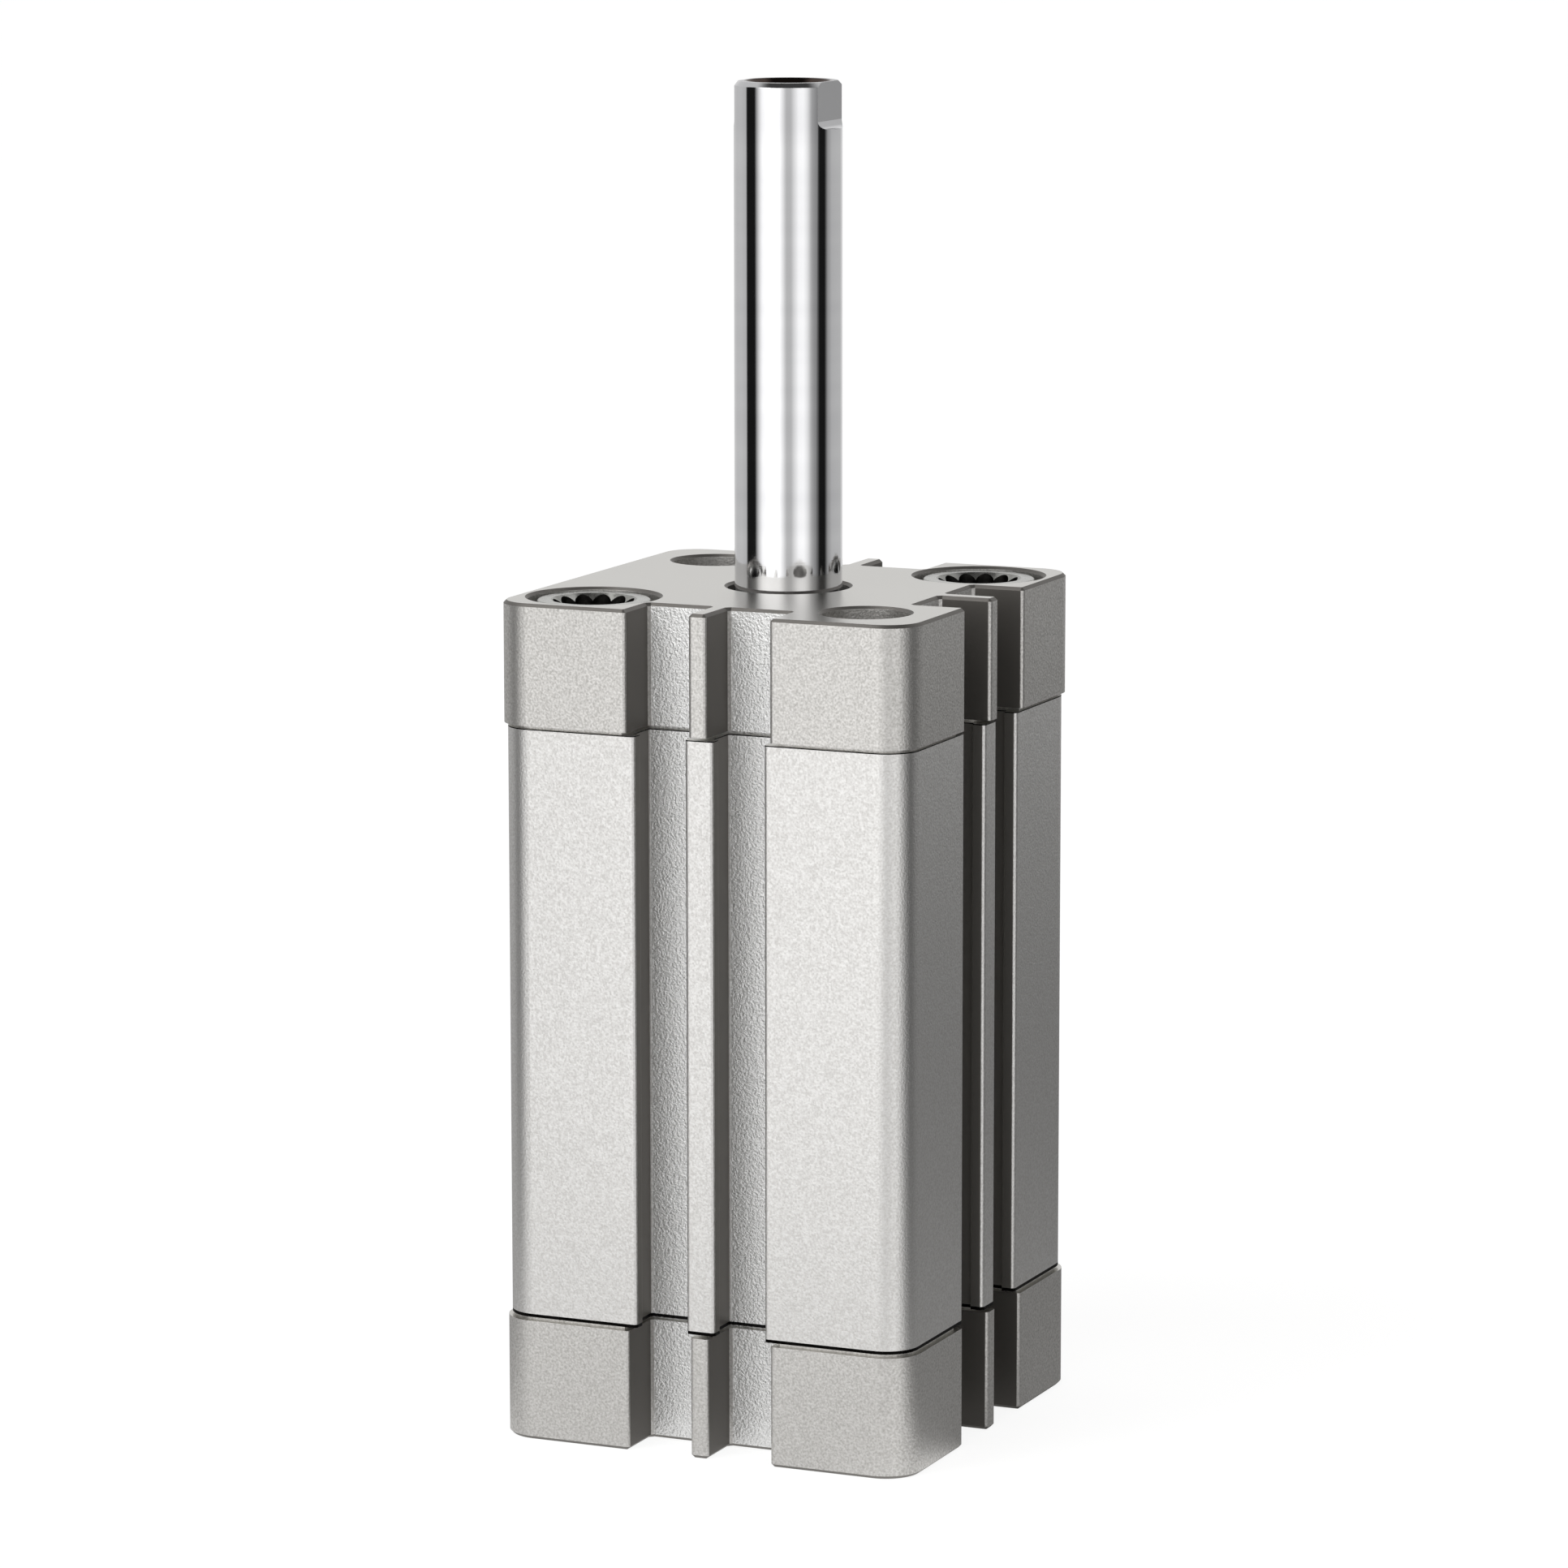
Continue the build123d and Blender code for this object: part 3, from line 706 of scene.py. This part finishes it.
@dataclass(frozen=True)
class PlainMetal(Finish):
    """A metal with one even finish: zinc plating, turned aluminium or sintered bronze.

    Plating and sintering leave faint clouds, and turning leaves rings round the part,
    which both catch the light.
    """

    light: str
    dark: str
    pattern_mm: float
    roughness: float
    turned: bool = False
    depth_mm: float = 0.003
    roughness_swing: float = 0.05

    def surface(self, tree: Tree, place: Socket) -> Inputs:
        """Clouds or turning rings in the colour, gloss and relief.

        Args:
            tree: the material's nodes.
            place: the object's own coordinates.

        Returns:
            The shader's inputs.
        """
        pattern = mottle(tree, place, self.pattern_mm, FINE_DETAIL, lines_round_z=self.turned)
        tones = {"A": linear_colour(self.dark), "B": linear_colour(self.light)}
        swing = self.roughness_swing
        gloss = {"To Min": self.roughness - swing, "To Max": self.roughness + swing}
        relief = {"Height": pattern, "Distance": self.depth_mm * MM}
        return {
            "Base Color": add_node(tree, "Mix", {"Factor": pattern, **tones}, data_type="RGBA"),
            "Metallic": 1.0,
            "Roughness": add_node(tree, "MapRange", {"Value": pattern, **gloss}),
            "Normal": add_node(tree, "Bump", relief),
        }


@dataclass(frozen=True)
class MouldedPolymer(Finish):
    """Moulded rubber or plastic: dull, with the faint mottle that the mould leaves."""

    light: str
    dark: str
    roughness: float
    roughness_swing: float = 0.06
    mottle_mm: float = 0.6
    depth_mm: float = 0.01

    def surface(self, tree: Tree, place: Socket) -> Inputs:
        """A soft mottle in the colour and gloss, and a slight relief.

        Args:
            tree: the material's nodes.
            place: the object's own coordinates.

        Returns:
            The shader's inputs.
        """
        pattern = mottle(tree, place, self.mottle_mm, FINE_DETAIL)
        tones = {"A": linear_colour(self.dark), "B": linear_colour(self.light)}
        swing = self.roughness_swing
        gloss = {"To Min": self.roughness - swing, "To Max": self.roughness + swing}
        relief = {"Height": pattern, "Distance": self.depth_mm * MM}
        return {
            "Base Color": add_node(tree, "Mix", {"Factor": pattern, **tones}, data_type="RGBA"),
            "Roughness": add_node(tree, "MapRange", {"Value": pattern, **gloss}),
            "Normal": add_node(tree, "Bump", relief),
        }


def ring(sides: int, profile: Callable[[float], tuple[float, float]]) -> Ring:
    """Makes one ring of points round the Z axis.

    Args:
        sides: how many points it has.
        profile: gives the radius and the height at an angle.

    Returns:
        The points in order.
    """
    points = []
    for step in range(sides):
        angle = math.tau * step / sides
        radius, height = profile(angle)
        points.append(Vector((radius * math.cos(angle), radius * math.sin(angle), height)))
    return points


@dataclass
class RingMesh:
    """A mesh made of closed skins, each a stack of rings whose last joins its first."""

    points: list[Vector] = field(default_factory=list)
    faces: list[tuple[int, int, int, int]] = field(default_factory=list)
    inner: list[bool] = field(default_factory=list)

    def add(self, rings: list[Ring], place: Matrix, inner_start: int | None = None) -> None:
        """Adds one closed skin.

        Args:
            rings: its rings, up the outside and then down the inside.
            place: where the skin goes, in millimetres.
            inner_start: the first ring of those that get the second finish.
        """
        sides = len(rings[0])
        start = len(self.points)
        for points in rings:
            self.points.extend((place @ point) * MM for point in points)
        for low in range(len(rings)):
            high = (low + 1) % len(rings)
            for side in range(sides):
                beside = (side + 1) % sides
                corners = ((low, side), (low, beside), (high, beside), (high, side))
                self.faces.append(tuple(start + row * sides + item for row, item in corners))
                self.inner.append(inner_start is not None and low >= inner_start)

    def make_piece(
        self, name: str, body: Body, slot: Slot, *materials: bpy.types.Material
    ) -> bpy.types.Object:
        """Turns the skins into a piece that moves with its body.

        Args:
            name: the piece's name.
            body: what it moves with.
            slot: the record's slot for its finish; it is not used.
            *materials: its finish, and the finish of its inner faces.

        Returns:
            The new object.
        """
        mesh = bpy.data.meshes.new(name)
        mesh.from_pydata(self.points, [], self.faces)
        for material in materials:
            mesh.materials.append(material)
        mesh.polygons.foreach_set("material_index", [int(inner) for inner in self.inner])
        mesh.shade_smooth()
        mesh.set_sharp_from_angle(angle=math.radians(SMOOTH_BELOW_DEG))
        piece = bpy.data.objects.new(name, mesh)
        bpy.context.scene.collection.objects.link(piece)
        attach(piece, body.value)
        LOG.info("%s: %d faces, rides on %s", name, len(self.faces), body.value)
        return piece


@dataclass(frozen=True)
class InnerThread:
    """A right-hand thread cut in a hole."""

    major_radius: float
    minor_radius: float
    pitch: float
    steps_per_pitch: int = 6
    crest_share: float = 0.16

    def rings(self, sides: int, top: float, bottom: float) -> list[Ring]:
        """The thread's surface, which fades in over one pitch at each end.

        Args:
            sides: how many points each ring has.
            top: the height of the thread's upper end.
            bottom: the height of its lower end.

        Returns:
            The rings from the top down.
        """
        count = round((top - bottom) / self.pitch * self.steps_per_pitch)
        depth = self.major_radius - self.minor_radius

        def radius(angle: float, height: float) -> float:
            """The hole's radius at a place on the thread.

            Args:
                angle: the place round the hole.
                height: the place along the hole.

            Returns:
                The radius there.
            """
            phase = (height / self.pitch - angle / math.tau) % 1.0
            rise = (0.5 - abs(phase - 0.5)) / (0.5 - self.crest_share)
            reach = min(top - height, height - bottom) / self.pitch
            return self.major_radius - depth * min(rise, 1.0) * min(reach, 1.0)

        heights = [top - (top - bottom) * step / count for step in range(count + 1)]
        return [ring(sides, lambda angle, h=h: (radius(angle, h), h)) for h in heights]

    def sleeve(self, sides: int, top: float, bottom: float, skin: float = 0.03) -> list[Ring]:
        """The thread as a sleeve whose outside lies just under the hole's wall.

        Args:
            sides: how many points each ring has.
            top: the height of the sleeve's upper end.
            bottom: the height of its lower end.
            skin: how far its outside lies under the wall.

        Returns:
            The rings, up the outside and down the inside.
        """
        outer = self.major_radius + skin
        outside = [ring(sides, lambda _, h=h: (outer, h)) for h in (bottom, top)]
        return outside + self.rings(sides, top, bottom)


@dataclass(frozen=True)
class CollarScrews:
    """Two screws that hold a cap: a round head, a twelve-point socket and a tapped hole.

    Heights are measured from the top of the head, upwards.
    """

    name: str
    replaced: str
    spots: tuple[tuple[float, float], ...]
    head_top: float
    upside_down: bool = False
    head_radius: float = 6.3
    head_height: float = 6.2
    head_edge: float = 0.28
    head_edge_steps: int = 4
    head_foot_chamfer: float = 0.3
    sink_radius: float = 4.76
    lobe_radius: float = 4.62
    lobe_fullness: float = 0.8
    cusp_radius: float = 3.98
    lobes: int = 12
    socket_turn_deg: float = 27.0
    socket_depth: float = 3.5
    shank_radius: float = 4.98
    shank_chamfer: float = 0.6
    hole_chamfer: float = 0.35
    length: float = 25.6
    sides: int = 144
    thread: InnerThread = InnerThread(3.0, 2.46, 1.0, steps_per_pitch=5)

    def socket_radius(self, angle: float) -> float:
        """The socket's outline: round lobes that meet in sharp cusps.

        Args:
            angle: the place round the screw.

        Returns:
            The radius there.
        """
        swell = abs(math.sin(angle * self.lobes / 2)) ** self.lobe_fullness
        return self.cusp_radius + (self.lobe_radius - self.cusp_radius) * swell

    def rings(self) -> tuple[list[Ring], int]:
        """One screw's closed skin, up its outside and down through its hole.

        Returns:
            The rings in order, and the number of the one where the socket's wall starts.
        """
        end, edge, steps = -self.length, self.head_edge, self.head_edge_steps
        round_edge = [
            (self.head_radius - edge * (1 - math.cos(turn)), -edge * (1 - math.sin(turn)))
            for turn in (math.radians(step * 90.0 / steps) for step in range(steps + 1))
        ]
        outside = [
            (self.shank_radius - self.shank_chamfer, end),
            (self.shank_radius, end + self.shank_chamfer),
            (self.shank_radius, -self.head_height),
            (self.head_radius - self.head_foot_chamfer, -self.head_height),
            (self.head_radius, self.head_foot_chamfer - self.head_height),
            *round_edge,
            (self.sink_radius, 0.0),
        ]
        skin = [ring(self.sides, lambda _, spot=spot: spot) for spot in outside]

        def sink(angle: float) -> tuple[float, float]:
            """The foot of the countersink, which follows the socket's outline."""
            radius = self.socket_radius(angle)
            return radius, radius - self.sink_radius

        floor = -self.socket_depth
        mouth = self.thread.major_radius + self.hole_chamfer
        skin.append(ring(self.sides, sink))
        wall_start = len(skin) - 1
        skin.append(ring(self.sides, lambda angle: (self.socket_radius(angle), floor)))
        skin.append(ring(self.sides, lambda _: (mouth, floor)))
        hole = self.thread.rings(self.sides, floor - self.hole_chamfer, end)
        return skin + hole, wall_start

    def build(self, plating: bpy.types.Material, socket_shade: bpy.types.Material) -> None:
        """Makes the screws in place of their plain solids.

        Args:
            plating: the finish of their outside.
            socket_shade: the painted shade inside the socket and the hole, a dark steel finish.
        """
        mesh = RingMesh()
        turn = Matrix.Rotation(math.radians(self.socket_turn_deg), 4, "Z")
        if self.upside_down:
            turn = Matrix.Rotation(math.pi, 4, "X") @ turn
        rings, wall_start = self.rings()
        for across, back in self.spots:
            place = Matrix.Translation((across, back, self.head_top)) @ turn
            # The socket and the hole take the second material, a painted shade.
            mesh.add(rings, place, wall_start)
        piece = mesh.make_piece(self.name, Body.HOUSING, Slot.ZINC, plating, socket_shade)
        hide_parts(self.replaced)


@dataclass(frozen=True)
class Housing:
    """Barrel, two caps, their ports' threads, and the seals that stay still."""

    barrel_finish: Finish = BlastedAluminium(
        name="blasted_anodised_aluminium",
        light="#EBEAE8",
        dark="#D2D0CD",
        milled="#CFCDC8",
        grain_mm=0.25,
        grain_depth_mm=0.014,
        roughness=0.40,
        # The painted seam shadows start at these heights.
        seam_below=14.26,
        seam_above=79.98,
    )
    cap_finish: Finish = BlastedAluminium(
        name="blasted_cast_aluminium",
        light="#E1DFDC",
        dark="#BCBAB6",
        milled="#D2D0CB",
        grain_mm=0.26,
        grain_depth_mm=0.015,
        roughness=0.43,
        # A darker painted shade for the cap's slot walls.
        slot_wall_painted_shade="#706D69",
        edge_mm=0.06,
    )
    bush_finish: Finish = PlainMetal("sintered_bronze", "#B98E5A", "#96703F", 0.4, 0.40)
    half_width: float = 24.75
    port_heights: tuple[float, ...] = (7.0, 87.0)
    port_chamfer: float = 0.5
    port_depth: float = 7.9
    port_sides: int = 72
    port_thread: InnerThread = InnerThread(4.86, 4.28, 0.907)

    def build(self, nodes: dict[str, bpy.types.Object], rubber: bpy.types.Material) -> None:
        """Dresses the housing's parts and cuts the threads of its ports.

        Args:
            nodes: the frame's parts.
            rubber: the seals' finish.
        """
        barrel, cap, bush = (
            finish.build() for finish in (self.barrel_finish, self.cap_finish, self.bush_finish)
        )
        finishes = {
            "barrel_profile": barrel,
            "bearing_cap": cap,
            "end_cap": cap,
            "rod_bearing_bush": bush,
            "rod_wiper_seal": rubber,
            "rod_lip_seal": rubber,
            "bearing_cap_o_ring": rubber,
            "end_cap_o_ring": rubber,
        }
        dress(nodes, finishes)
        threads = RingMesh()
        outwards = Matrix.Rotation(-math.pi / 2, 4, "Y")
        for height in self.port_heights:
            face = Matrix.Translation((-self.half_width, 0.0, height))
            depths = (-self.port_chamfer, -self.port_depth)
            rings = self.port_thread.sleeve(self.port_sides, *depths)
            threads.add(rings, face @ outwards)
        threads.make_piece("port_threads", Body.HOUSING, Slot.CAP, cap)


@dataclass(frozen=True)
class Piston:
    """The parts inside the barrel that slide with the rod."""

    alloy: Finish = PlainMetal("turned_aluminium", "#D3D3D0", "#BBBBB8", 0.2, 0.30, turned=True)
    magnet: Finish = PlainMetal("bonded_magnet", "#4A4A4C", "#3C3C3E", 0.3, 0.55)
    guide: Finish = MouldedPolymer("filled_fluoropolymer", "#6E5A43", "#5E4B37", 0.45)

    def build(
        self,
        nodes: dict[str, bpy.types.Object],
        rubber: bpy.types.Material,
        zinc: bpy.types.Material,
    ) -> None:
        """Dresses the piston's parts.

        Args:
            nodes: the frame's parts.
            rubber: the seals' finish.
            zinc: the nut's and washer's plating.
        """
        alloy = self.alloy.build()
        finishes = {
            "piston_front_half": alloy,
            "piston_rear_half": alloy,
            "piston_magnet": self.magnet.build(),
            "piston_guide_ring": self.guide.build(),
            "piston_front_seal": rubber,
            "piston_rear_seal": rubber,
            "front_cushion_ring": rubber,
            "rear_cushion_ring": rubber,
            "rod_o_ring": rubber,
            "piston_washer": zinc,
            "piston_nut": zinc,
        }
        dress(nodes, finishes)


@dataclass(frozen=True)
class PistonRod:
    """The rod, and the thread tapped in its end."""

    finish: Finish = HardChromedSteel()
    end: float = 150.0
    mouth_chamfer: float = 0.75
    tapped_length: float = 11.9
    sides: int = 96
    thread: InnerThread = InnerThread(4.0, 3.32, 1.25, steps_per_pitch=8)

    def build(self, nodes: dict[str, bpy.types.Object]) -> None:
        """Dresses the rod and cuts its thread.

        Args:
            nodes: the frame's parts.
        """
        chrome = self.finish.build()
        dress(nodes, {"piston_rod": chrome})
        mesh = RingMesh()
        rings = self.thread.sleeve(self.sides, -self.mouth_chamfer, -self.tapped_length)
        mesh.add(rings, Matrix.Translation((0.0, 0.0, self.end)))
        mesh.make_piece("rod_end_thread", Body.ROD, Slot.CHROME, chrome)


def dress(nodes: dict[str, bpy.types.Object], finishes: dict[str, bpy.types.Material]) -> None:
    """Gives parts of the frame their materials.

    Args:
        nodes: the frame's parts.
        finishes: the names of the parts to dress, with their materials.
    """
    for name, material in finishes.items():
        node = nodes[name]
        if not node.material_slots:
            node.data.materials.append(material)
        for slot in node.material_slots:
            slot.material = material
        LOG.info("%s: %s", name, material.name)


def corners(box: tuple[Vector, Vector]) -> list[list[float]]:
    return [list(corner) for corner in box]


def main() -> None:
    """Builds the scene piece by piece."""
    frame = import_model()
    cad_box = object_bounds()
    nodes = frame["nodes"]
    PhotoCamera().place()
    Studio().build()
    rubber = MouldedPolymer("nitrile_rubber", "#1F1F20", "#151516", 0.55).build()
    zinc = PlainMetal("zinc_plated_steel", "#C6C6C2", "#A8A8A4", 1.2, 0.28).build()
    # Painted shade: dark steel inside the screw sockets and holes stands in for their shade.
    socket_shade = PlainMetal("socket_painted_shade", "#3A3937", "#292827", 0.5, 0.42).build()
    Housing().build(nodes, rubber)
    CollarScrews(
        "bearing_cap_screws",
        "bearing_cap_collar_screws",
        spots=((-16.25, -16.25), (16.25, 16.25)),
        head_top=93.7,
    ).build(zinc, socket_shade)
    CollarScrews(
        "end_cap_screws",
        "end_cap_collar_screws",
        spots=((16.25, -16.25), (-16.25, 16.25)),
        head_top=0.3,
        upside_down=True,
    ).build(zinc, socket_shade)
    Piston().build(nodes, rubber, zinc)
    PistonRod().build(nodes)
    {"cad": corners(cad_box), "visual": corners(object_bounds())}


if __name__ == "__main__":
    logging.basicConfig(level=logging.INFO)
    main()
